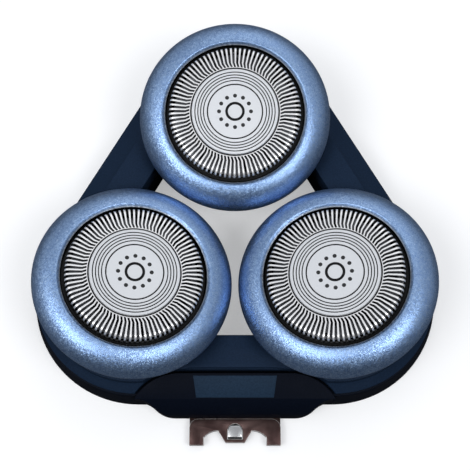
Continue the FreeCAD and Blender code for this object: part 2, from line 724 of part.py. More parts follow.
def rounded_triangle(centre, radius):
    """Three corner arcs, one round each head, joined by straight sides."""
    corners = []
    for direction in HEAD_ANGLES.values():
        for side in (-CORNER_HALF_ANGLE, CORNER_HALF_ANGLE):
            x = turned(centre, direction)[0] + turned(radius, direction + side)[0]
            y = turned(centre, direction)[1] + turned(radius, direction + side)[1]
            bend = ("left", radius) if side < 0 else ()
            corners.append((x, y, *bend))
    return corners


def plateau_outline():
    """Three discs joined by beams, with a hollow curve where they meet."""
    centre, radius, flare = PLATEAU_CENTRE, PLATEAU_RADIUS, size.beam_flare
    across = BEAM_OUTER + flare - 0.5 * centre
    along = COS_30 * centre - root((radius + flare) * (radius + flare) - across * across)
    share = radius / (radius + flare)
    corners = []
    for direction in HEAD_ANGLES.values():
        for side in (-1, 1):
            beam = direction + side * CORNER_HALF_ANGLE
            offset = -side * along
            on_beam = turned(BEAM_OUTER, beam, offset)
            middle = turned(centre, direction)
            bow = turned(BEAM_OUTER + flare, beam, offset)
            on_disc = tuple(c + share * (b - c) for b, c in zip(bow, middle))
            tip = turned(centre + radius, direction)
            if side < 0:
                corners.append((*on_beam, "right", flare))
                corners.append((*on_disc, "left", radius))
                corners.append((*tip, "left", radius))
            else:
                corners.append((*on_disc, "right", flare))
                corners.append(on_beam)
    return corners


def window_outline():
    """The open centre: three long sides along the beams, three short ones."""
    half = (BEAM_INNER - 0.5 * PIVOT_RADIUS) / COS_30
    corners = []
    for direction in HEAD_ANGLES.values():
        corners.append(turned(PIVOT_RADIUS, direction, -half))
        corners.append(turned(PIVOT_RADIUS, direction, half))
    return corners


def lobe_outline(rear, half_width):
    """The lobe from above: a bowed rear edge and sides that flare into the skirt."""
    half_rear, front = size.lobe_half_rear, LOBE_FRONT
    bow_x, bow_y = half_width - half_rear, LOBE_SIDE - rear
    bow = 0.5 * (bow_x * bow_x + bow_y * bow_y) / bow_y
    rise = 0.5 * (front - LOBE_SIDE)
    run = 0.5 * (half_width - size.lobe_half_front)
    swing = 0.5 * (run * run + rise * rise) / rise
    middle = (size.lobe_half_front + run, -(LOBE_SIDE + rise))
    return [
        (-half_rear, -rear, "left", bow),
        (-half_width, -LOBE_SIDE, "right", swing),
        (-middle[0], middle[1], "left", swing),
        (-size.lobe_half_front, -front),
        (size.lobe_half_front, -front, "left", swing),
        (*middle, "right", swing),
        (half_width, -LOBE_SIDE, "left", bow),
        (half_rear, -rear),
    ]


def cut_seats(body, label, height):
    """Open the frame for the three heads and at its centre."""
    seat = cut_hole(body, f"{label}_seat", turned(PIVOT_RADIUS, FRONT_BEAM_ANGLE - 180.0),
                    SEAT_RADIUS, 0, height)
    repeat(body, f"{label}_seats", seat, 3)
    cut_prism(body, f"{label}_window", window_outline(), 0, height)


def base_frame(label):
    """The lower frame, with the lobe that the bracket is screwed under."""
    body = new_body(label)
    add_prism(body, f"{label}_skirt", rounded_triangle(CORNER_CENTRE, SKIRT_RADIUS),
              0, SPLIT_HEIGHT, taper=-size.skirt_taper_angle)
    outline = lobe_outline(LOBE_REAR, LOBE_HALF_WIDTH)
    add_prism(body, f"{label}_lobe", outline, 0, LOBE_TOP)
    sketch = new_sketch(body, "YZ_Plane", f"{label}_brow_section")
    clear = LOBE_FRONT + size.groove
    draw_outline(sketch, [
        (-LOBE_REAR, LOBE_TOP),
        (size.lobe_nose - LOBE_FRONT, LOBE_TOP - size.lobe_brow_drop, "left",
         size.lobe_nose_radius),
        (-LOBE_FRONT, size.lobe_nose_height),
        (-clear, size.lobe_nose_height),
        (-clear, PLATEAU_HEIGHT),
        (-LOBE_REAR, PLATEAU_HEIGHT),
    ])
    cut(body, f"{label}_brow", sketch, 2 * LOBE_HALF_WIDTH, both_ways=True)
    cut_seats(body, label, PLATEAU_HEIGHT)
    for beam in REAR_BEAM_ANGLES:
        cut_prism(body, f"{label}_hollow_{beam:.0f}",
                  rectangle(BEAM_INNER + size.beam_wall, SKIRT_FOOT - size.skirt_wall,
                            size.hollow_half, beam),
                  0, size.hollow_depth)
    shelf = add_prism(body, f"{label}_shelf",
                      rectangle(SHELF_INNER, PIVOT_RADIUS + SEAT_RADIUS + size.shelf_root,
                                size.shelf_half, FRONT_BEAM_ANGLE - 180.0),
                      0, size.shelf_thick)
    repeat(body, f"{label}_shelves", shelf, 3)
    cut_prism(body, f"{label}_bracket_recess",
              rectangle(BRACKET_REAR - size.fit_clearance, LOBE_FRONT + size.groove,
                        size.bracket_half + size.fit_clearance, FRONT_BEAM_ANGLE),
              0, LOWER_LEAF_TOP)
    for beam in BEAM_ANGLES:
        centre = turned(SCREW_DISTANCE, beam)
        cut_hole(body, f"{label}_screw_{beam:.0f}", centre,
                 size.screw_radius + size.fit_clearance, 0, SPLIT_HEIGHT)
    cut_hole(body, f"{label}_front_screw_head", turned(SCREW_DISTANCE, FRONT_BEAM_ANGLE),
             size.screw_head + size.fit_clearance, 0, size.hollow_depth)
    for side in (-1, 1):
        centre = (side * size.rivet_spread, -RIVET_DISTANCE)
        cut_hole(body, f"{label}_rivet_{side + 1}", centre, size.screw_radius,
                 LOWER_LEAF_TOP, size.rivet_bite)
    return body


def top_frame(label):
    """The upper frame: a sloping band, and a plateau round the three heads."""
    body = new_body(label)
    triangle = rounded_triangle(CORNER_CENTRE, RIM_RADIUS)
    rim_top = SPLIT_HEIGHT + size.rim_thick
    add_prism(body, f"{label}_rim", triangle, SPLIT_HEIGHT, size.rim_thick)
    add_prism(body, f"{label}_slope", triangle, rim_top, size.slope_rise, taper=-size.slope_angle)
    add_prism(body, f"{label}_plateau", plateau_outline(), SPLIT_HEIGHT,
              PLATEAU_HEIGHT - SPLIT_HEIGHT)
    cut_seats(body, label, PLATEAU_HEIGHT + size.groove)
    slot_half = size.pin_radius + size.fit_clearance
    end = PIN_REACH + 2 * size.fit_clearance
    for name, direction in HEAD_ANGLES.items():
        for side in (-1, 1):
            slot = [
                turned(PIVOT_RADIUS - slot_half, direction, side * end),
                turned(PIVOT_RADIUS - slot_half, direction, 0),
                turned(PIVOT_RADIUS + slot_half, direction, 0),
                turned(PIVOT_RADIUS + slot_half, direction, side * end),
            ]
            cut_prism(body, f"{label}_{name}_pin_slot_{side + 1}", slot, SPLIT_HEIGHT,
                      size.pin_radius + size.pin_radius + 2 * size.fit_clearance)
    notch = lobe_outline(LOBE_REAR - size.groove, LOBE_HALF_WIDTH + size.groove)
    cut_prism(body, f"{label}_lobe_notch", notch, 0, PLATEAU_HEIGHT + size.groove)
    for beam in BEAM_ANGLES:
        cut_hole(body, f"{label}_screw_{beam:.0f}", turned(SCREW_DISTANCE, beam),
                 size.screw_radius, 0, SPLIT_HEIGHT + size.screw_bite)
    return body


def hinge_bracket(label):
    """The folded steel bracket: two leaves, cut into two legs and a tongue."""
    body = new_body(label)
    front, rear = -BRACKET_FRONT, -BRACKET_REAR
    sketch = new_sketch(body, "YZ_Plane", f"{label}_section")
    draw_outline(sketch, [
        (rear, size.bracket_drop),
        (rear, LOWER_LEAF_TOP),
        (front + size.bracket_sheet, LOWER_LEAF_TOP),
        (front + size.bracket_sheet, UPPER_LEAF),
        (-BRACKET_LEAF, UPPER_LEAF),
        (-BRACKET_LEAF, UPPER_LEAF_TOP),
        (front, UPPER_LEAF_TOP),
        (front, size.bracket_drop),
    ])
    add(body, f"{label}_sheet", sketch, 2 * size.bracket_half, both_ways=True)
    leg = size.bracket_half - size.leg_width
    half = size.catch_half
    tongue_root, tongue_tip = half + size.tongue_root, half + size.tongue_tip
    arch = 1.5 * (leg - tongue_root)
    foot, crown = front + size.leg_length, front + size.arch_height
    beyond = front - size.groove
    cut_prism(body, f"{label}_arches", [
        (-leg, beyond),
        (leg, beyond),
        (leg, foot, "left", arch),
        (tongue_root, crown),
        (tongue_tip, -TONGUE_END),
        (-tongue_tip, -TONGUE_END),
        (-tongue_root, crown, "left", arch),
        (-leg, foot),
    ], 0, 4 * size.bracket_sheet)
    middle = -(CATCH_REAR + half)
    cut_prism(body, f"{label}_catch_slot", [
        (-half, -CATCH_FRONT),
        (half, -CATCH_FRONT),
        (half, middle, "left", half),
        (0, -CATCH_REAR, "left", half),
        (-half, middle),
    ], 0, 4 * size.bracket_sheet)
    for side, turn in ((-1, "right"), (1, "left")):
        corner_x, corner_y = side * size.bracket_half, -BRACKET_LEAF
        start = (corner_x, corner_y - size.leaf_round, turn, size.leaf_round)
        end = (corner_x - side * size.leaf_round, corner_y)
        outer = (corner_x + side * size.groove, corner_y + size.groove)
        cut_prism(body, f"{label}_corner_{side + 1}", [
            start, end, (end[0], outer[1]), outer, (outer[0], start[1]),
        ], UPPER_LEAF, 2 * size.bracket_sheet)
    for side in (-1, 1):
        centre = (side * size.rivet_spread, -RIVET_DISTANCE)
        cut_hole(body, f"{label}_screw_hole_{side + 1}", centre,
                 size.screw_radius + size.fit_clearance, 0, 2 * size.bracket_sheet)
    return body


def catch_spring(label):
    """The bright spring strip under the bracket, bowed up through its slot."""
    body = new_body(label)
    sheet = 0.5 * size.bracket_drop
    rear = 1.5 * size.screw_head - RIVET_DISTANCE
    half = size.catch_half - size.tab_gap
    middle = -(CATCH_REAR + size.catch_half)
    bow_rear, bow_front = middle + half, size.tab_gap - CATCH_FRONT
    top = UPPER_LEAF_TOP + size.tab_proud
    shoulder = top - size.tab_bevel
    under = size.bracket_drop
    sketch = new_sketch(body, "YZ_Plane", f"{label}_section")
    draw_outline(sketch, [
        (rear, under - sheet),
        (rear, under),
        (bow_rear, under),
        (bow_rear, shoulder),
        (bow_rear - size.tab_bevel, top),
        (bow_front + size.tab_bevel, top),
        (bow_front, shoulder),
        (bow_front, under - sheet),
    ])
    add(body, f"{label}_strip", sketch, 2 * half, both_ways=True)
    for side, turn in ((-1, "right"), (1, "left")):
        beside, beyond = side * (half + size.tab_bevel), bow_rear + size.tab_bevel
        cut_prism(body, f"{label}_round_{side + 1}", [
            (side * half, middle, turn, half), (0, bow_rear), (0, beyond), (beside, beyond),
            (beside, middle),
        ], under, top)
    return body


def fastener(name, centre, seat, head_thick, length):
    """A round-headed screw or rivet that points up, seated under its head."""
    body = new_body(name)
    for step, radius, bottom, height in (
            ("head", size.screw_head, seat - head_thick, head_thick),
            ("shank", size.screw_radius, seat, length)):
        sketch = new_sketch(body, "XY_Plane", f"{name}_{step}_plan", bottom)
        draw_circle(sketch, centre, radius)
        add(body, f"{name}_{step}", sketch, height)
    return body


def fastener_group(label, fasteners):
    """Like fasteners in one node, as a group of separate solids."""
    group = DOC.addObject("Part::Compound", label)
    group.Label = label
    group.Links = fasteners
    return group


def frame_screws(label):
    """Three screws that join the two frames from below."""
    length = SPLIT_HEIGHT - size.hollow_depth + size.screw_bite - size.fit_clearance
    return fastener_group(label, [
        fastener(f"{label}_{beam:.0f}", turned(SCREW_DISTANCE, beam), size.hollow_depth,
                 size.screw_head_thick, length)
        for beam in BEAM_ANGLES])


def bracket_rivets(label):
    """Two rivets that hold the bracket's lower leaf under the lobe."""
    length = size.bracket_sheet + size.rivet_bite - size.fit_clearance
    return fastener_group(label, [
        fastener(f"{label}_{side + 1}", (side * size.rivet_spread, -RIVET_DISTANCE), size.bracket_drop,
                 size.rivet_head, length)
        for side in (-1, 1)])


def build_heads():
    pieces = []
    for name, direction in HEAD_ANGLES.items():
        for make in (trim_ring, head_cup, guard_cap, guard_badge, cutter_blades, cutter_hub,
                     retaining_ring, float_spring):
            body = make(f"{name}_{make.__name__}")
            place_in_head(body, direction)
            pieces.append(body)
        spring = tilt_spring(f"{name}_tilt_spring")
        spring.Placement = FreeCAD.Placement(
            FreeCAD.Vector(), FreeCAD.Rotation(FreeCAD.Vector(0, 0, 1), direction))
        pieces.append(spring)
    return pieces


def build_frame():
    makers = (base_frame, top_frame, hinge_bracket, catch_spring, frame_screws, bracket_rivets)
    return [make(make.__name__) for make in makers]


def check(pieces):
    for item in DOC.Objects:
        if {"Invalid", "Error"} & set(item.State):
            raise RuntimeError(f"{item.Name} did not build: {item.State}")
    for piece in pieces:
        if piece.Shape.isNull() or not piece.Shape.isValid():
            raise RuntimeError(f"{piece.Label} has no valid shape")


def main():
    pieces = build_heads() + build_frame()
    DOC.recompute()
    check(pieces)
    os.makedirs("parts", exist_ok=True)
    for piece in pieces:
        piece.Shape.exportStep(f"parts/{piece.Label}.step")
        print(piece.Label, len(piece.Shape.Solids), round(piece.Shape.Volume, 3))


main()
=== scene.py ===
"""Finish a packed rotary shaver head: lacquered rings, slotted steel guards, a moulded frame.

Laid out as an add-on and run as a script. Metres, +Z up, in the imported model's frame, with
the single rear head towards +Y and the bracket towards -Y.
"""
import json
import math
from types import SimpleNamespace

import bmesh
import bpy
from bpy.props import FloatProperty, FloatVectorProperty, IntProperty, PointerProperty
from bpy.types import Operator, Panel, PropertyGroup
from mathutils import Matrix, Vector


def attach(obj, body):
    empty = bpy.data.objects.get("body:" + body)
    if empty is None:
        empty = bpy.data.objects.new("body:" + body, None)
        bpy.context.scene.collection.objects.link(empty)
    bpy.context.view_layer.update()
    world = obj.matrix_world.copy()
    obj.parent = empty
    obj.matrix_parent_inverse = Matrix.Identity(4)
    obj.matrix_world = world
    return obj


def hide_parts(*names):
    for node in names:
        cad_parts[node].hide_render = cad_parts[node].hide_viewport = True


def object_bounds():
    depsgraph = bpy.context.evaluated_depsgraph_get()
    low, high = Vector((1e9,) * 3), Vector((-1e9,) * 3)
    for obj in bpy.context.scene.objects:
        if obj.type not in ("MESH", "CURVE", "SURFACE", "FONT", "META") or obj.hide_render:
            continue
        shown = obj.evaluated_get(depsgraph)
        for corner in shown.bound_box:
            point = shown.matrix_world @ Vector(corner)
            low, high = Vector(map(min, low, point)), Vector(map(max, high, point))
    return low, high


bl_info = {
    "name": "Rotary shaver head",
    "version": (1, 0, 0),
    "blender": (4, 5, 0),
    "location": "3D View > Sidebar > Shaver head",
    "description": "Finishes the packed model of a rotary shaver head",
    "category": "Object",
}

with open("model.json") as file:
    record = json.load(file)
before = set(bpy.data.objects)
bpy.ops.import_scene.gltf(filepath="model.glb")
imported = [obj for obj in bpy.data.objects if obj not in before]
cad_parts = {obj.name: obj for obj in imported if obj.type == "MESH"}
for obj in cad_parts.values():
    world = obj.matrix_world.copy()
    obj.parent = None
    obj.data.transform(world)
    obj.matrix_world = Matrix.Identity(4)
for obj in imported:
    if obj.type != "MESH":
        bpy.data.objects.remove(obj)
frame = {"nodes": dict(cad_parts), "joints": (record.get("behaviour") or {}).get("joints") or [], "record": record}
cad_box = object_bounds()

MM = 0.001
FULL_TURN = 2 * math.pi
HEADS = ("rear", "left", "right")
MERGE = 0.001 * MM


def joint(name):
    return next(item for item in frame["joints"] if item["name"] == name)


def head_matrix(head):
    """From a head's own frame, z along its axis and x out of the triangle, to the model's."""
    axis = Vector(joint(f"{head}_cutter_spin")["axis"]).normalized()
    across = Vector(joint(f"{head}_head_tilt")["axis"]).normalized()
    rotation = Matrix((across.cross(axis), across, axis)).transposed()
    return Matrix.Translation(joint(f"{head}_cutter_spin")["pos_m"]) @ rotation.to_4x4()


def rear_places(node):
    """The corners of a node of the rear head, in that head's own frame."""
    inverse = head_matrix("rear").inverted()
    return [inverse @ vertex.co for vertex in frame["nodes"][node].data.vertices]


def measure(node):
    """The radii and heights that a node of the rear head reaches."""
    places = rear_places(node)
    radii = [place.xy.length for place in places]
    heights = [place.z for place in places]
    return SimpleNamespace(inner=min(radii), outer=max(radii), low=min(heights), high=max(heights))


RING = measure("rear_trim_ring")
CAP = measure("rear_guard_cap")
DISC = measure("rear_guard_badge")
ABOVE_FLANGE = CAP.low + 0.6 * MM
CAP_SIDE = max(place.xy.length for place in rear_places("rear_guard_cap")
               if place.z > ABOVE_FLANGE)


def paint(red, green, blue):
    """A colour written as bytes, as a shader wants it."""
    return tuple(
        value / 12.92 if value <= 0.04045 else ((value + 0.055) / 1.055) ** 2.4
        for value in (red / 255, green / 255, blue / 255))


class ShaverRingSettings(PropertyGroup):
    wall: FloatProperty(
        name="Wall", description="Thickness of the ring's lower wall",
        default=1.6 * MM, min=0, unit="LENGTH")
    lip: FloatProperty(
        name="Lip", description="Height of the bevel inside the crest",
        default=0.6 * MM, min=0, unit="LENGTH")
    crest: FloatProperty(
        name="Crest", description="Inner lip to the dome's highest line",
        default=0.7 * MM, min=0, unit="LENGTH")
    dome: FloatProperty(
        name="Dome", description="Radius of the dome's section",
        default=5 * MM, min=0, unit="LENGTH")
    flake_size: FloatProperty(
        name="Flake", description="Size of the flakes in the lacquer",
        default=0.14 * MM, min=0, unit="LENGTH")
    lacquer: FloatVectorProperty(
        name="Lacquer", description="Colour of the lacquer",
        default=paint(160, 190, 226), subtype="COLOR", min=0, max=1)
    deep_lacquer: FloatVectorProperty(
        name="Deep lacquer", description="Colour between the flakes",
        default=paint(92, 124, 178), subtype="COLOR", min=0, max=1)


class ShaverGuardSettings(PropertyGroup):
    slots: IntProperty(
        name="Slots", description="Slots round each guard", default=86, min=12)
    slot_inner: FloatProperty(
        name="Slot inner end", description="Head axis to the inner end of the slots",
        default=7.5 * MM, min=0, unit="LENGTH")
    slot_bend: FloatProperty(
        name="Slot bend", description="Head axis to the bend in each slot",
        default=8.2 * MM, min=0, unit="LENGTH")
    bend_angle: FloatProperty(
        name="Bend", description="How far a slot turns at its bend",
        default=math.radians(20), subtype="ANGLE")
    shoulder: FloatProperty(
        name="Shoulder", description="Round between the track and the side",
        default=0.8 * MM, min=0, unit="LENGTH")
    slot_depth: FloatProperty(
        name="Slot depth", description="Track down to the lower end of the slots",
        default=1.9 * MM, min=0, unit="LENGTH")
    wall: FloatProperty(
        name="Steel", description="Thickness of the steel", default=0.3 * MM, min=0, unit="LENGTH")
    steel: FloatVectorProperty(
        name="Steel colour", description="Colour of the guard's steel",
        default=paint(246, 247, 249), subtype="COLOR", min=0, max=1)


class ShaverDiscSettings(PropertyGroup):
    groove: FloatProperty(
        name="Groove", description="Width of the grooves round the disc",
        default=0.18 * MM, min=0, unit="LENGTH")
    groove_depth: FloatProperty(
        name="Groove depth", description="Depth of the grooves",
        default=0.07 * MM, min=0, unit="LENGTH")
    dots: IntProperty(
        name="Dots", description="Etched dots round the centre", default=12, min=3)
    dot_ring: FloatProperty(
        name="Dot circle", description="Disc centre to the dots",
        default=2.62 * MM, min=0, unit="LENGTH")
    dot: FloatProperty(
        name="Dot", description="Radius of a dot", default=0.33 * MM, min=0, unit="LENGTH")
    steel: FloatVectorProperty(
        name="Disc colour", description="Colour of the disc's satin steel",
        default=paint(222, 225, 229), subtype="COLOR", min=0, max=1)
    # The etch colour is also the near-black painted shade on the guards' slot walls and undersides.
    etch: FloatVectorProperty(
        name="Etch colour", description="Colour of the grooves and etched marks",
        default=paint(10, 12, 15), subtype="COLOR", min=0, max=1)


class ShaverFrameSettings(PropertyGroup):
    edge: FloatProperty(
        name="Edge", description="Round on the frame's edges", default=0.3 * MM, min=0,
        unit="LENGTH")
    navy: FloatVectorProperty(
        name="Navy", description="Colour of the upper frame",
        default=paint(21, 35, 54), subtype="COLOR", min=0, max=1)
    dark: FloatVectorProperty(
        name="Dark navy", description="Colour of the lower frame and lobe",
        default=paint(7, 12, 23), subtype="COLOR", min=0, max=1)
    black: FloatVectorProperty(
        name="Black", description="Colour of the head cups",
        default=paint(13, 14, 17), subtype="COLOR", min=0, max=1)
    bronze: FloatVectorProperty(
        name="Brown steel", description="Colour of the bracket's heat-tinted faces",
        default=paint(60, 46, 45), subtype="COLOR", min=0, max=1)


class ShaverStageSettings(PropertyGroup):
    distance: FloatProperty(
        name="Distance", description="Camera to the middle of the rings",
        default=160 * MM, min=0, unit="LENGTH")
    elevation: FloatProperty(
        name="Elevation", description="Camera above the horizon",
        default=math.radians(73.2), subtype="ANGLE")
    aim: FloatProperty(
        name="Aim", description="Height that the camera looks at",
        default=13.8 * MM, unit="LENGTH")
    lens: FloatProperty(
        name="Lens", description="Focal length", default=75.4, min=1, unit="CAMERA")
    rise: FloatProperty(
        name="Rise", description="Aim above the picture's middle, as a share of its side",
        default=11.5 / 470)
    floor: FloatVectorProperty(
        name="Floor", description="Colour of the floor",
        default=(0.97, 0.98, 1.0), subtype="COLOR", min=0, max=1)


# Modelling

def clear_selection():
    if bpy.context.object and bpy.context.object.mode == "EDIT":
        bpy.ops.object.mode_set(mode="OBJECT")
    bpy.ops.object.select_all(action="DESELECT")


def select_only(piece):
    clear_selection()
    piece.select_set(True)
    bpy.context.view_layer.objects.active = piece


def turn(name, section, parts):
    """Turn a section about z: a circle is extruded, moved and resized from corner to corner."""
    clear_selection()
    radius, height = section[0]
    bpy.ops.mesh.primitive_circle_add(vertices=parts, radius=radius, enter_editmode=True)
    bpy.ops.transform.translate(value=(0, 0, height))
    for next_radius, next_height in section[1:]:
        bpy.ops.mesh.extrude_edges_move(
            TRANSFORM_OT_translate={"value": (0, 0, next_height - height)})
        grow = next_radius / radius
        bpy.ops.transform.resize(value=(grow, grow, 1), center_override=(0, 0, 0))
        radius, height = next_radius, next_height
    bpy.ops.mesh.select_all(action="SELECT")
    bpy.ops.mesh.remove_doubles(threshold=MERGE)
    bpy.ops.mesh.normals_make_consistent(inside=False)
    piece = bpy.context.object
    piece.name = name
    return piece


def arc(start, end, radius, steps):
    """Points from one place of a section to another along an arc that bows outwards."""
    start, end = Vector(start), Vector(end)
    chord = end - start
    outwards = Vector((chord.y, -chord.x)).normalized()
    centre = (start + end) / 2 - outwards * math.sqrt(radius ** 2 - (chord.length / 2) ** 2)
    first = math.atan2(*(start - centre).yx)
    sweep = (math.atan2(*(end - centre).yx) - first) % FULL_TURN
    angles = [first + sweep * step / steps for step in range(steps + 1)]
    return [tuple(centre + radius * Vector((math.cos(a), math.sin(a)))) for a in angles]


def add_modifier(piece, kind, **settings):
    """Add a modifier, set it and apply it."""
    select_only(piece)
    modifier = piece.modifiers.new(kind.title(), kind)
    for name, value in settings.items():
        setattr(modifier, name, value)
    bpy.ops.object.modifier_apply(modifier=modifier.name)


def soften(piece, width, segments=2, angle=35, material=-1):
    """Round the edges that turn by more than an angle, and shade the rest smooth."""
    add_modifier(piece, "BEVEL", width=width, segments=segments, limit_method="ANGLE",
                 angle_limit=math.radians(angle), use_clamp_overlap=True,
                 harden_normals=False, miter_outer="MITER_ARC", material=material)
    bpy.ops.object.shade_smooth_by_angle(angle=math.radians(angle))


def set_on_heads(model, label, group, node, slot, *finishes):
    """Copy a piece that was modelled upright to each head, in place of a node there."""
    while len(model.data.materials) < len(finishes):
        model.data.materials.append(None)
    for head in HEADS:
        piece = model.copy()
        piece.data = model.data.copy()
        piece.name = f"{head}_{label}"
        bpy.context.scene.collection.objects.link(piece)
        piece.matrix_world = head_matrix(head)
        select_only(piece)
        bpy.ops.object.transform_apply(location=True, rotation=True, scale=True)
        for index, finish in enumerate(finishes):
            piece.data.materials[index] = finish(head)
        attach(piece, f"{head}_{group}")
        if node:
            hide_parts(f"{head}_{node}")
    bpy.data.objects.remove(model)


def body_of(node):
    return next(body for body, nodes in frame["record"]["behaviour"]["bodies"].items()
                if node in nodes)


def dressed_copy(node, label, edge, slot, material, edge_material=None):
    """A merged copy of a node with rounded edges, which stands for the node."""
    piece = bpy.data.objects.new(label, frame["nodes"][node].data.copy())
    bpy.context.scene.collection.objects.link(piece)
    piece.data.materials.clear()
    piece.data.materials.append(material)
    if edge_material:
        piece.data.materials.append(edge_material)
    select_only(piece)
    bpy.ops.object.mode_set(mode="EDIT")
    bpy.ops.mesh.select_all(action="SELECT")
    bpy.ops.mesh.remove_doubles(threshold=MERGE)
    bpy.ops.mesh.dissolve_limited(angle_limit=math.radians(0.5))
    bpy.ops.object.mode_set(mode="OBJECT")
    soften(piece, edge, material=1 if edge_material else -1)
    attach(piece, body_of(node))
    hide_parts(node)
    return piece


# Shader groups

def new_group(name, inputs, outputs):
    """An empty shader group with its sockets, given as (name, kind, default)."""
    group = bpy.data.node_groups.new(name, "ShaderNodeTree")
    for sockets, side in ((inputs, "INPUT"), (outputs, "OUTPUT")):
        for label, kind, *default in sockets:
            socket = group.interface.new_socket(
                name=label, in_out=side, socket_type=f"NodeSocket{kind}")
            if default:
                socket.default_value = default[0]
    return group, group.nodes.new("NodeGroupInput"), group.nodes.new("NodeGroupOutput")


def give_inputs(tree, item, inputs):
    """Give a node's inputs their values, or links where the value is another node's output."""
    for name, value in inputs.items():
        if isinstance(value, bpy.types.NodeSocket):
            tree.links.new(value, item.inputs[name])
        else:
            item.inputs[name].default_value = value


def add_node(tree, kind, inputs=None, **settings):
    item = tree.nodes.new(f"ShaderNode{kind}")
    for name, value in settings.items():
        setattr(item, name, value)
    give_inputs(tree, item, inputs or {})
    return item


def maths(tree, operation, *values):
    return add_node(tree, "Math", dict(enumerate(values)), operation=operation).outputs[0]


def ramp(tree, value, low, high):
    """0 below one value, 1 above another and smooth between."""
    return add_node(tree, "MapRange", {"Value": value, "From Min": low, "From Max": high},
                    interpolation_type="SMOOTHSTEP").outputs["Result"]


def mix_colours(tree, factor, first, second):
    """Mix two colours. The Mix node takes them at its inputs 6 and 7."""
    first, second = (colour if isinstance(colour, bpy.types.NodeSocket) else (*colour, 1)
                     for colour in (first, second))
    return add_node(tree, "Mix", {0: factor, 6: first, 7: second}, data_type="RGBA").outputs[2]


def polar_group():
    """Radius and height about the z axis of the place that it is given."""
    group, given, result = new_group(
        "Polar place", [("Place", "Vector")], [("Radius", "Float"), ("Height", "Float")])
    parts = add_node(group, "SeparateXYZ", {"Vector": given.outputs["Place"]})
    flat = add_node(group, "CombineXYZ", {"X": parts.outputs["X"], "Y": parts.outputs["Y"]})
    length = add_node(group, "VectorMath", {0: flat.outputs[0]}, operation="LENGTH")
    group.links.new(length.outputs["Value"], result.inputs["Radius"])
    group.links.new(parts.outputs["Z"], result.inputs["Height"])
    return group


def flake_group():
    """Metal flakes in a lacquer: a brightness and a slight lean for each flake."""
    group, given, result = new_group(
        "Metal flakes",
        [("Place", "Vector"), ("Flake Size", "Float", 0.15 * MM), ("Lean", "Float", 0.2)],
        [("Glint", "Float"), ("Cloud", "Float"), ("Normal", "Vector")])
    scale = maths(group, "DIVIDE", 1.0, given.outputs["Flake Size"])
    cloud_scale = maths(group, "MULTIPLY", scale, 0.22)
    mid_grey = (0.5, 0.5, 0.5)
    cells = add_node(group, "TexVoronoi", {"Vector": given.outputs["Place"], "Scale": scale})
    share = add_node(group, "SeparateXYZ", {"Vector": cells.outputs["Color"]})
    cloud = add_node(group, "TexNoise", {"Vector": given.outputs["Place"], "Scale": cloud_scale,
                                         "Detail": 3.0})
    centred = add_node(group, "VectorMath", {0: cells.outputs["Color"], 1: mid_grey},
                       operation="SUBTRACT")
    leaned = add_node(group, "VectorMath", {0: centred.outputs[0], "Scale": given.outputs["Lean"]},
                      operation="SCALE")
    surface = add_node(group, "NewGeometry")
    tipped = add_node(group, "VectorMath", {0: surface.outputs["Normal"], 1: leaned.outputs[0]},
                      operation="ADD")
    normal = add_node(group, "VectorMath", {0: tipped.outputs[0]}, operation="NORMALIZE")
    group.links.new(share.outputs["X"], result.inputs["Glint"])
    group.links.new(cloud.outputs["Fac"], result.inputs["Cloud"])
    group.links.new(normal.outputs[0], result.inputs["Normal"])
    return group


def grain_group():
    """The fine grain of a moulded or rolled surface, as a tone and a normal."""
    group, given, result = new_group(
        "Fine grain",
        [("Place", "Vector"), ("Grain Size", "Float", 0.2 * MM), ("Depth", "Float", 0.01 * MM)],
        [("Tone", "Float"), ("Patch", "Float"), ("Normal", "Vector")])
    scale = maths(group, "DIVIDE", 1.0, given.outputs["Grain Size"])
    patch_scale = maths(group, "MULTIPLY", scale, 0.05)
    grain = add_node(group, "TexNoise", {"Vector": given.outputs["Place"], "Scale": scale,
                                         "Detail": 4.0, "Roughness": 0.6})
    patch = add_node(group, "TexNoise", {"Vector": given.outputs["Place"], "Scale": patch_scale,
                                         "Detail": 2.0})
    bump = add_node(group, "Bump", {"Height": grain.outputs["Fac"], "Strength": 1.0,
                                    "Distance": given.outputs["Depth"]})
    group.links.new(grain.outputs["Fac"], result.inputs["Tone"])
    group.links.new(patch.outputs["Fac"], result.inputs["Patch"])
    group.links.new(bump.outputs["Normal"], result.inputs["Normal"])
    return group


def turned_group():
    """The fine rings that a lathe leaves, as a tone and a normal."""
    group, given, result = new_group(
        "Turned marks",
        [("Radius", "Float"), ("Pitch", "Float", 0.05 * MM), ("Depth", "Float", 0.002 * MM)],
        [("Tone", "Float"), ("Normal", "Vector")])
    ring_count = maths(group, "DIVIDE", given.outputs["Radius"], given.outputs["Pitch"])
    rings = add_node(group, "TexNoise", {"W": ring_count, "Scale": 1.0, "Detail": 2.0},
                     noise_dimensions="1D")
    bump = add_node(group, "Bump", {"Height": rings.outputs["Fac"], "Strength": 1.0,
                                    "Distance": given.outputs["Depth"]})
    group.links.new(rings.outputs["Fac"], result.inputs["Tone"])
    group.links.new(bump.outputs["Normal"], result.inputs["Normal"])
    return group


built_groups = {}


def effect(tree, make, inputs):
    """Place a shader group in a material. The group is built the first time it is wanted."""
    if make not in built_groups:
        built_groups[make] = make()
    return add_node(tree, "Group", inputs, node_tree=built_groups[make]).outputs


# Materials

def new_material(name, **plain):
    """A material whose shader has plain values for some sockets."""
    material = bpy.data.materials.new(name)
    material.use_nodes = True
    tree = material.node_tree
    shader = tree.nodes["Principled BSDF"]
    for label, value in plain.items():
        shader.inputs[label.replace("_", " ").title().replace("Ior", "IOR")].default_value = value
    return material, tree, shader


def model_place(tree):
    return add_node(tree, "TexCoord").outputs["Object"]


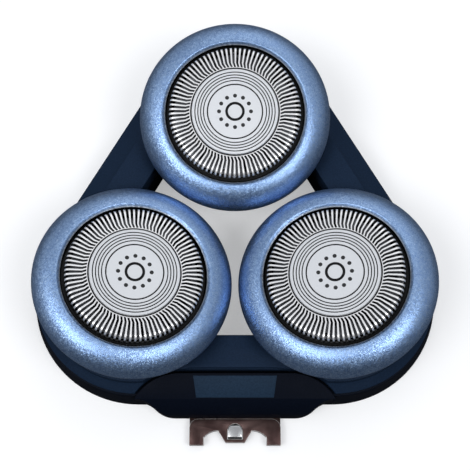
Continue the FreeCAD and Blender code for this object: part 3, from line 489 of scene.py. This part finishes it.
def head_place(tree, head):
    """Object coordinates seen in a head's own frame."""
    matrix = head_matrix(head)
    mapping = add_node(tree, "Mapping", {
        "Vector": model_place(tree),
        "Location": matrix.to_translation(),
        "Rotation": matrix.to_euler()}, vector_type="TEXTURE")
    return mapping.outputs["Vector"]


def lacquer(head):
    """Blue lacquer with metal flakes under a clear coat, with painted glints, a painted pale highlight at the
    inner lip and painted shade inside it.
    """
    settings = bpy.context.scene.shaver_ring
    painted_glint_blue = paint(206, 224, 244)
    painted_lip_highlight_blue = paint(216, 228, 243)
    painted_inner_shade = paint(6, 8, 13)
    lip_edge = RING.inner + 0.3 * settings.crest
    material, tree, shader = new_material(
        f"blue_lacquer_{head}", metallic=0.97, coat_weight=0.22, coat_roughness=0.3)
    place = head_place(tree, head)
    flakes = effect(tree, flake_group, {"Place": place, "Flake Size": settings.flake_size,
                                        "Lean": 0.2})
    radius = effect(tree, polar_group, {"Place": place})["Radius"]
    cloud = maths(tree, "MULTIPLY", flakes["Cloud"], 0.5)
    depth = maths(tree, "MULTIPLY_ADD", flakes["Glint"], 0.62, cloud)
    blue = mix_colours(tree, depth, settings.deep_lacquer, settings.lacquer)
    # Painted glints: the flakes with the highest values are mixed towards a pale blue, a painted highlight.
    painted_glint = maths(tree, "MULTIPLY", ramp(tree, flakes["Glint"], 0.94, 1.0), 0.3)
    painted_highlights = mix_colours(tree, painted_glint, blue, painted_glint_blue)
    # A painted pale highlight in a thin band just outside the inner lip.
    lip = ramp(tree, radius, lip_edge + 0.16 * MM, lip_edge + 0.1 * MM)
    with_lip_highlight = mix_colours(tree, maths(tree, "MULTIPLY", lip, 0.85), painted_highlights, painted_lip_highlight_blue)
    # Painted shade: inside the lip, down the ring's inner wall, the colour goes near black.
    inside = ramp(tree, radius, lip_edge, lip_edge - 0.06 * MM)
    colour = mix_colours(tree, inside, with_lip_highlight, painted_inner_shade)
    roughness = maths(tree, "MULTIPLY_ADD", flakes["Cloud"], 0.12, 0.34)
    tree.links.new(colour, shader.inputs["Base Color"])
    tree.links.new(roughness, shader.inputs["Roughness"])
    tree.links.new(flakes["Normal"], shader.inputs["Normal"])
    return material


def guard_steel(head):
    """Bright pressed steel, turned smooth on its track, with painted shade down its side, near-black painted shade
    at its foot and a dark seam round the disc.
    """
    settings = bpy.context.scene.shaver_guard
    painted_side_shade_grey = paint(196, 198, 202)
    mark_grey = paint(160, 162, 166)
    seam_and_painted_shade_dark = paint(10, 11, 13)
    material, tree, shader = new_material(f"guard_steel_{head}", metallic=0.6)
    polar = effect(tree, polar_group, {"Place": head_place(tree, head)})
    marks = effect(tree, turned_group, {"Radius": polar["Radius"], "Pitch": 0.09 * MM,
                                        "Depth": 0.0015 * MM})
    # Painted shade: the side, below the track's edge, is mixed towards a darker grey.
    side = ramp(tree, polar["Height"], CAP.high - 0.12 * MM, CAP.high - 0.6 * MM)
    # Painted shade: below the slots, the foot of the side goes near black.
    foot = ramp(tree, polar["Height"], CAP.high - 0.9 * MM, CAP.high - 1.4 * MM)
    seam = ramp(tree, polar["Radius"], DISC.outer + 0.27 * MM, DISC.outer + 0.21 * MM)
    shade = mix_colours(tree, side, settings.steel, painted_side_shade_grey)
    turned = mix_colours(tree, maths(tree, "MULTIPLY", marks["Tone"], 0.15), shade, mark_grey)
    # One near black serves the seam line and the painted shade at the foot.
    colour = mix_colours(tree, maths(tree, "MAXIMUM", seam, foot), turned, seam_and_painted_shade_dark)
    roughness = maths(tree, "MULTIPLY_ADD", marks["Tone"], 0.15, 0.28)
    tree.links.new(colour, shader.inputs["Base Color"])
    tree.links.new(roughness, shader.inputs["Roughness"])
    tree.links.new(marks["Normal"], shader.inputs["Normal"])
    return material


def disc_steel(head):
    """Satin steel, coloured dark in its grooves."""
    settings = bpy.context.scene.shaver_disc
    grain_grey = paint(196, 200, 206)
    material, tree, shader = new_material(f"disc_steel_{head}", metallic=0.6)
    place = head_place(tree, head)
    polar = effect(tree, polar_group, {"Place": place})
    grain = effect(tree, grain_group, {"Place": place, "Grain Size": 0.12 * MM,
                                       "Depth": 0.003 * MM})
    satin = mix_colours(tree, maths(tree, "MULTIPLY", grain["Tone"], 0.3), settings.steel,
                        grain_grey)
    below_top = ramp(tree, polar["Height"], DISC.high - 0.015 * MM, DISC.high - 0.03 * MM)
    inside_rim = ramp(tree, polar["Radius"], 0.95 * DISC.outer, 0.93 * DISC.outer)
    groove = maths(tree, "MULTIPLY", below_top, inside_rim)
    roughness = maths(tree, "MULTIPLY_ADD", grain["Tone"], 0.15, 0.4)
    tree.links.new(mix_colours(tree, groove, satin, settings.etch), shader.inputs["Base Color"])
    tree.links.new(roughness, shader.inputs["Roughness"])
    tree.links.new(grain["Normal"], shader.inputs["Normal"])
    return material


def etched_mark_and_slot_shade(head):
    """Dark oxide left by etching, on the dots; the same near black on the guards' slot walls and undersides is
    painted shade.
    """
    made = bpy.data.materials.get(f"etched_mark_and_slot_shade_{head}")
    if made:
        return made
    settings = bpy.context.scene.shaver_disc
    grain_dark = paint(24, 26, 30)
    material, tree, shader = new_material(f"etched_mark_and_slot_shade_{head}", roughness=0.6)
    grain = effect(tree, grain_group, {"Place": model_place(tree), "Grain Size": 0.1 * MM,
                                       "Depth": 0.002 * MM})
    colour = mix_colours(tree, grain["Tone"], settings.etch, grain_dark)
    tree.links.new(colour, shader.inputs["Base Color"])
    tree.links.new(grain["Normal"], shader.inputs["Normal"])
    return material


def moulded(name, colour, grain_size=0.25, depth=0.012, roughness=0.6, shine=0.06):
    """A moulded plastic with a fine grain. Grain size and depth are in millimetres."""
    material, tree, shader = new_material(name, specular_ior_level=shine)
    grain = effect(tree, grain_group, {"Place": model_place(tree), "Grain Size": grain_size * MM,
                                       "Depth": depth * MM})
    lighter = tuple(1.35 * value for value in colour)
    tone = ramp(tree, grain["Tone"], 0.3, 0.75)
    patchy = maths(tree, "MULTIPLY_ADD", grain["Patch"], 0.15, roughness - 0.07)
    tree.links.new(mix_colours(tree, tone, colour, lighter), shader.inputs["Base Color"])
    tree.links.new(patchy, shader.inputs["Roughness"])
    tree.links.new(grain["Normal"], shader.inputs["Normal"])
    return material


def rolled_steel(name, colour, roughness, tint=None, metallic=1.0):
    """Steel strip or sheet, with faint patches of a second tint, or else of a darker tone."""
    material, tree, shader = new_material(name, metallic=metallic)
    grain = effect(tree, grain_group, {"Place": model_place(tree), "Grain Size": 0.15 * MM,
                                       "Depth": 0.004 * MM})
    second = tint or tuple(0.75 * value for value in colour)
    patches = ramp(tree, grain["Patch"], 0.35, 0.65)
    grained = maths(tree, "MULTIPLY_ADD", grain["Tone"], 0.2, roughness - 0.1)
    tree.links.new(mix_colours(tree, patches, colour, second), shader.inputs["Base Color"])
    tree.links.new(grained, shader.inputs["Roughness"])
    tree.links.new(grain["Normal"], shader.inputs["Normal"])
    return material


def floor_material():
    """A pale floor that shows its shadows to the camera and throws little light back."""
    settings = bpy.context.scene.shaver_stage
    unseen = tuple(0.08 * value for value in settings.floor)
    material, tree, shader = new_material("floor_pale", roughness=0.9)
    seen = add_node(tree, "LightPath").outputs["Is Camera Ray"]
    tree.links.new(mix_colours(tree, seen, unseen, settings.floor), shader.inputs["Base Color"])
    glow = add_node(tree, "Emission", {"Color": (0.98, 0.99, 1.0, 1), "Strength": 1.2})
    blend = add_node(tree, "MixShader", {0: maths(tree, "MULTIPLY", seen, 0.32)})
    tree.links.new(shader.outputs[0], blend.inputs[1])
    tree.links.new(glow.outputs[0], blend.inputs[2])
    tree.links.new(blend.outputs[0], tree.nodes["Material Output"].inputs["Surface"])
    return material


# Operators

class SHAVER_OT_trim_rings(Operator):
    """Turn the domed trim rings and lacquer them"""
    bl_idname = "shaver.trim_rings"
    bl_label = "Trim rings"

    def execute(self, context):
        size = context.scene.shaver_ring
        rim = RING.low + 1.0 * MM
        rim_foot = rim - 0.4 * MM
        skirt = RING.outer - 0.48 * MM
        wall = RING.outer - size.wall
        wall_top = rim + 0.34 * MM
        lip_foot = RING.high - 1.3 * MM
        lip_back = RING.inner + 1.7 * MM
        crest = RING.inner + size.crest
        section = [
            *arc((RING.outer, rim), (crest, RING.high), size.dome, steps=14),
            (RING.inner, RING.high - size.lip),
            (RING.inner, lip_foot),
            (lip_back, lip_foot),
            (wall, wall_top),
            (wall, RING.low),
            (skirt, RING.low),
            (RING.outer, rim_foot),
            (RING.outer, rim),
        ]
        ring = turn("ring", section, parts=192)
        soften(ring, 0.12 * MM, segments=3, angle=22)
        set_on_heads(ring, "lacquered_ring", "head", "trim_ring", "blue_lacquer", lacquer)
        return {"FINISHED"}


class SHAVER_OT_guards(Operator):
    """Turn the thin guards, cut their slots and bend the slots' inner ends"""
    bl_idname = "shaver.guards"
    bl_label = "Slotted guards"

    rib_parts = 2
    slot_parts = 3

    def execute(self, context):
        size = context.scene.shaver_guard
        per_slot = self.rib_parts + self.slot_parts
        foot = CAP.low + 0.02 * MM
        flange = CAP.low + 0.48 * MM
        track = CAP.high
        track_middle = 9.2 * MM
        bend_middle = 0.5 * (size.slot_bend + size.slot_inner)
        recess = DISC.outer + 0.04 * MM
        seat = DISC.low - 0.01 * MM
        seat_inner = recess - 0.5 * MM
        shoulder = arc((CAP_SIDE, track - size.shoulder), (CAP_SIDE - size.shoulder, track),
                       1.02 * size.shoulder, steps=3)
        section = [
            (CAP.outer, foot),
            (CAP.outer, flange),
            (CAP_SIDE, flange),
            (CAP_SIDE, track - size.slot_depth),
            *shoulder,
            (track_middle, track),
            (size.slot_bend, track),
            (bend_middle, track),
            (size.slot_inner, track),
            (recess, track),
            (recess, seat),
            (seat_inner, seat),
        ]
        guard = turn("guard", section, per_slot * size.slots)
        self.cut_slots(guard, size, per_slot)
        self.bend_slots(guard, size, (bend_middle, size.slot_inner))
        bpy.ops.object.mode_set(mode="OBJECT")
        self.add_empty_materials(guard)
        # The solidified underside and the slots' walls take the second material, a near-black painted shade.
        add_modifier(guard, "SOLIDIFY", thickness=size.wall, offset=-1, use_even_offset=True,
                     material_offset=1, material_offset_rim=1)
        soften(guard, 0.035 * MM, segments=1, angle=40)
        set_on_heads(guard, "slotted_guard", "guard", "guard_cap", "guard_steel", guard_steel,
                     etched_mark_and_slot_shade)
        return {"FINISHED"}

    def cut_slots(self, guard, size, per_slot):
        """Delete the faces that lie in a slot."""
        mesh = bmesh.from_edit_mesh(guard.data)
        step = FULL_TURN / (per_slot * size.slots)
        start = min(math.atan2(v.co.y, v.co.x) % step for v in mesh.verts)
        bpy.ops.mesh.select_all(action="DESELECT")
        bpy.ops.mesh.select_mode(type="FACE")
        for face in mesh.faces:
            middle = face.calc_center_median()
            part = round((math.atan2(middle.y, middle.x) % FULL_TURN - start) / step - 0.5)
            open_part = part % per_slot < self.slot_parts
            on_track = middle.xy.length > size.slot_inner
            above_foot = middle.z > CAP.high - size.slot_depth
            face.select_set(open_part and on_track and above_foot)
        bmesh.update_edit_mesh(guard.data)
        bpy.ops.mesh.delete(type="FACE")

    def bend_slots(self, guard, size, radii):
        """Turn the inner circles of the track, so that each slot bends there."""
        bpy.ops.mesh.select_mode(type="VERT")
        for radius in radii:
            bpy.ops.mesh.select_all(action="DESELECT")
            mesh = bmesh.from_edit_mesh(guard.data)
            for vertex in mesh.verts:
                vertex.select_set(abs(vertex.co.xy.length - radius) < 0.01 * MM)
            mesh.select_flush_mode()
            bmesh.update_edit_mesh(guard.data)
            swing = math.tan(size.bend_angle) * math.log(size.slot_bend / radius)
            bpy.ops.transform.rotate(value=swing, orient_axis="Z", center_override=(0, 0, 0))

    def add_empty_materials(self, guard):
        """Places for two materials, the first for the outside and the second for the slots."""
        guard.data.materials.append(None)
        guard.data.materials.append(None)


class SHAVER_OT_discs(Operator):
    """Turn the plain discs with their grooves, and etch the marks at their centre"""
    bl_idname = "shaver.discs"
    bl_label = "Guard discs"

    def execute(self, context):
        size = context.scene.shaver_disc
        foot = DISC.low + 0.01 * MM
        top = DISC.high
        bevel = 0.1 * MM
        bevel_height = 0.14 * MM
        centre_hole = 0.02 * MM
        groove_floor = top - size.groove_depth
        grooves = [(radius * MM, size.groove) for radius in (6.58, 6.1, 5.64, 5.17)]
        grooves += [(4.52 * MM, 1.3 * size.groove), (1.38 * MM, 2.6 * size.groove)]
        section = [
            (DISC.outer, foot),
            (DISC.outer, top - bevel_height),
            (DISC.outer - bevel, top),
        ]
        for radius, width in grooves:
            wall = 0.15 * width
            section += [
                (radius + 0.5 * width, top),
                (radius + 0.5 * width - wall, groove_floor),
                (radius - 0.5 * width + wall, groove_floor),
                (radius - 0.5 * width, top),
            ]
        section.append((centre_hole, top))
        disc = turn("disc", section, parts=160)
        bpy.ops.mesh.fill_holes(sides=0)
        bpy.ops.mesh.normals_make_consistent(inside=False)
        bpy.ops.object.mode_set(mode="OBJECT")
        bpy.ops.object.shade_smooth_by_angle(angle=math.radians(20))
        set_on_heads(disc, "grooved_disc", "guard", "guard_badge", "disc_steel", disc_steel)
        self.etch(size)
        return {"FINISHED"}

    def etch(self, size):
        """A circle of plain dots, a hair above the disc."""
        thickness = 0.04 * MM
        middle_height = DISC.high - 0.012 * MM
        clear_selection()
        bpy.ops.mesh.primitive_cylinder_add(
            vertices=24, radius=size.dot, depth=thickness, enter_editmode=True,
            location=(0, 0, 0))
        bpy.ops.mesh.bevel(offset=0.2 * thickness, segments=1, affect="EDGES")
        bpy.ops.mesh.select_all(action="SELECT")
        bpy.ops.transform.translate(value=(size.dot_ring, 0, middle_height))
        bpy.ops.mesh.spin(steps=size.dots, dupli=True, angle=FULL_TURN,
                          center=(0, 0, 0), axis=(0, 0, 1))
        bpy.ops.mesh.select_all(action="SELECT")
        bpy.ops.mesh.remove_doubles(threshold=MERGE)
        bpy.ops.object.mode_set(mode="OBJECT")
        dots = bpy.context.object
        bpy.ops.object.shade_smooth_by_angle(angle=math.radians(30))
        set_on_heads(dots, "etched_dots", "guard", None, "disc_steel", etched_mark_and_slot_shade)


class SHAVER_OT_head_cups(Operator):
    """Round and finish the cups, cutters and retaining rings inside the heads"""
    bl_idname = "shaver.head_cups"
    bl_label = "Cups and cutters"

    def execute(self, context):
        colours = context.scene.shaver_frame
        black = moulded("cup_black", colours.black, roughness=0.5)
        grey = moulded("retainer_grey", paint(62, 66, 74), roughness=0.45)
        hub = moulded("hub_dark", paint(18, 19, 22), roughness=0.5)
        # The blades' steel is darkened to a painted shade, so that the slots above them read black.
        shade_darkened_blades = rolled_steel("blade_steel", paint(96, 98, 102), roughness=0.35)
        springs = rolled_steel("spring_steel", paint(198, 200, 204), roughness=0.22)
        pieces = (
            ("head_cup", "moulded_cup", 0.15 * MM, "black_plastic", black),
            ("retaining_ring", "bayonet_ring", 0.12 * MM, "grey_plastic", grey),
            ("cutter_hub", "drive_hub", 0.12 * MM, "hub_plastic", hub),
            ("cutter_blades", "ground_blades", 0.02 * MM, "blade_steel", shade_darkened_blades),
            ("float_spring", "leaf_ring", 0.03 * MM, "spring_steel", springs),
            ("tilt_spring", "bent_leaf", 0.03 * MM, "spring_steel", springs),
        )
        for head in HEADS:
            for node, label, edge, slot, material in pieces:
                dressed_copy(f"{head}_{node}", f"{head}_{label}", edge, slot, material)
        return {"FINISHED"}


class SHAVER_OT_frames(Operator):
    """Round and finish the two moulded frames, and set in the plain panel"""
    bl_idname = "shaver.frames"
    bl_label = "Frames"

    def execute(self, context):
        settings = context.scene.shaver_frame
        navy = moulded("frame_navy", settings.navy)
        dark = moulded("frame_dark_navy", settings.dark, roughness=0.5, shine=0.04)
        bare = moulded("panel_navy", paint(29, 45, 63), grain_size=0.3, depth=0.03, roughness=0.5)
        dressed_copy("top_frame", "upper_moulding", settings.edge, "navy_plastic", navy)
        dressed_copy("base_frame", "lower_moulding", settings.edge, "navy_plastic", dark)
        self.set_in_panel(bare)
        return {"FINISHED"}

    def set_in_panel(self, material):
        """A bare, finely grained panel on the lobe's slope, narrower at its lower end."""
        low = Vector((0, -27.1, 5.78)) * MM
        high = Vector((0, -23.75, 7.37)) * MM
        width = 13.6 * MM
        thickness = 0.16 * MM
        taper = 0.93
        slope = high - low
        lean = Matrix.Rotation(math.atan2(slope.z, slope.y), 4, "X")
        clear_selection()
        bpy.ops.mesh.primitive_cube_add(size=1, enter_editmode=True)
        bpy.ops.transform.resize(value=(width, slope.length, thickness))
        panel = bpy.context.object
        panel.name = "lobe_panel"
        mesh = bmesh.from_edit_mesh(panel.data)
        for vertex in mesh.verts:
            if vertex.co.y < 0:
                vertex.co.x *= taper
        bmesh.update_edit_mesh(panel.data)
        bpy.ops.object.mode_set(mode="OBJECT")
        panel.matrix_world = Matrix.Translation((low + high) / 2) @ lean
        bpy.ops.object.transform_apply(location=True, rotation=True, scale=True)
        soften(panel, 0.07 * MM, segments=3)
        panel.data.materials.append(material)
        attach(panel, "frame")


class SHAVER_OT_bracket(Operator):
    """Finish the folded bracket, its bare sheared edges painted near white as a highlight, its spring strip and
    fasteners
    """
    bl_idname = "shaver.bracket"
    bl_label = "Bracket and fasteners"

    def execute(self, context):
        settings = context.scene.shaver_frame
        brown = rolled_steel("bracket_brown", settings.bronze, roughness=0.38,
                             tint=paint(80, 65, 63))
        # Painted highlight: the sheared edges' bare steel is painted near white and barely metallic.
        painted_highlights = rolled_steel("sheared_edge_highlight", paint(250, 249, 247), roughness=0.4, metallic=0.1)
        strip = rolled_steel("strip_steel", paint(214, 216, 218), roughness=0.24)
        plated = rolled_steel("plated_steel", paint(150, 150, 152), roughness=0.3)
        for node, label, edge, slot, *materials in (
                ("hinge_bracket", "folded_bracket", 0.2 * MM, "tinted_steel", brown, painted_highlights),
                ("catch_spring", "bowed_strip", 0.12 * MM, "spring_steel", strip),
                ("frame_screws", "frame_screw_set", 0.1 * MM, "screw_steel", plated),
                ("bracket_rivets", "bracket_rivet_pair", 0.06 * MM, "screw_steel", plated)):
            dressed_copy(node, label, edge, slot, *materials)
        return {"FINISHED"}


class SHAVER_OT_stage(Operator):
    """Set the floor, lamps, world and camera"""
    bl_idname = "shaver.stage"
    bl_label = "Stage"

    def execute(self, context):
        settings = context.scene.shaver_stage
        self.lay_floor()
        self.light()
        self.colour_world(context.scene)
        self.aim_camera(context.scene, settings)
        context.scene.view_settings.view_transform = "Standard"
        return {"FINISHED"}

    def lay_floor(self):
        below = cad_box[0].z - 0.05 * MM
        clear_selection()
        bpy.ops.mesh.primitive_plane_add(size=4, location=(0, 0, below))
        floor = bpy.context.object
        floor.name = "floor"
        floor.data.materials.append(floor_material())

    def light(self):
        """Two soft lamps above the front, and weaker ones to the left and behind."""
        middle = Vector((0, 0, 12 * MM))
        for name, place, width, power in (
                ("key_lamp", (-0.27, -0.20, 0.54), 0.28, 1.25),
                ("fill_lamp", (0.27, -0.20, 0.54), 0.28, 1.2),
                ("left_lamp", (-0.50, 0.00, 0.50), 0.50, 0.5),
                ("rear_lamp", (0.12, 0.50, 0.50), 0.60, 0.6)):
            bpy.ops.object.light_add(type="AREA", location=place)
            lamp = bpy.context.object
            lamp.name = name
            lamp.data.shape = "DISK"
            lamp.data.size = width
            lamp.data.energy = power
            lamp.rotation_euler = (middle - Vector(place)).to_track_quat("-Z", "Y").to_euler()

    def colour_world(self, scene):
        """White to the camera, and to all else a soft light that comes from behind and above."""
        behind_above = (0, 0.8, 0.6)
        world = bpy.data.worlds.new("studio")
        scene.world = world
        world.use_nodes = True
        tree = world.node_tree
        soft = tree.nodes["Background"]
        soft.inputs["Color"].default_value = (0.94, 0.96, 1.0, 1)
        direction = add_node(tree, "TexCoord").outputs["Generated"]
        towards = add_node(tree, "VectorMath", {0: direction, 1: behind_above},
                           operation="DOT_PRODUCT")
        behind = ramp(tree, towards.outputs["Value"], -0.6, 0.5)
        tree.links.new(maths(tree, "MULTIPLY_ADD", behind, 0.5, 0.04), soft.inputs["Strength"])
        white = add_node(tree, "Background", {"Color": (1, 1, 1, 1), "Strength": 1.0})
        path = add_node(tree, "LightPath")
        blend = add_node(tree, "MixShader", {0: path.outputs["Is Camera Ray"]})
        tree.links.new(soft.outputs[0], blend.inputs[1])
        tree.links.new(white.outputs[0], blend.inputs[2])
        tree.links.new(blend.outputs[0], tree.nodes["World Output"].inputs["Surface"])

    def aim_camera(self, scene, settings):
        back = Vector((0, -math.cos(settings.elevation), math.sin(settings.elevation)))
        place = Vector((0, 0, settings.aim)) + settings.distance * back
        rotation = (-back).to_track_quat("-Z", "Y").to_euler()
        bpy.ops.object.camera_add(location=place, rotation=rotation)
        camera = bpy.context.object
        camera.data.lens = settings.lens
        camera.data.shift_y = -settings.rise
        camera.data.clip_start = 1 * MM
        scene.camera = camera


class SHAVER_PT_panel(Panel):
    """Settings and steps of the shaver head"""
    bl_idname = "SHAVER_PT_panel"
    bl_label = "Shaver head"
    bl_space_type = "VIEW_3D"
    bl_region_type = "UI"
    bl_category = "Shaver head"

    def draw(self, context):
        for label in SETTINGS:
            box = self.layout.box()
            settings = getattr(context.scene, label)
            for name in settings.__annotations__:
                box.prop(settings, name)
        for step in STEPS:
            self.layout.operator(step.bl_idname)


SETTINGS = {
    "shaver_ring": ShaverRingSettings,
    "shaver_guard": ShaverGuardSettings,
    "shaver_disc": ShaverDiscSettings,
    "shaver_frame": ShaverFrameSettings,
    "shaver_stage": ShaverStageSettings,
}
STEPS = (
    SHAVER_OT_trim_rings,
    SHAVER_OT_guards,
    SHAVER_OT_discs,
    SHAVER_OT_head_cups,
    SHAVER_OT_frames,
    SHAVER_OT_bracket,
    SHAVER_OT_stage,
)


def register():
    for item in (*SETTINGS.values(), *STEPS, SHAVER_PT_panel):
        bpy.utils.register_class(item)
    for label, group in SETTINGS.items():
        setattr(bpy.types.Scene, label, PointerProperty(type=group))


def unregister():
    for label in SETTINGS:
        delattr(bpy.types.Scene, label)
    for item in reversed((*SETTINGS.values(), *STEPS, SHAVER_PT_panel)):
        bpy.utils.unregister_class(item)


def main():
    register()
    bpy.ops.shaver.trim_rings()
    bpy.ops.shaver.guards()
    bpy.ops.shaver.discs()
    bpy.ops.shaver.head_cups()
    bpy.ops.shaver.frames()
    bpy.ops.shaver.bracket()
    bpy.ops.shaver.stage()


if __name__ == "__main__":
    main()
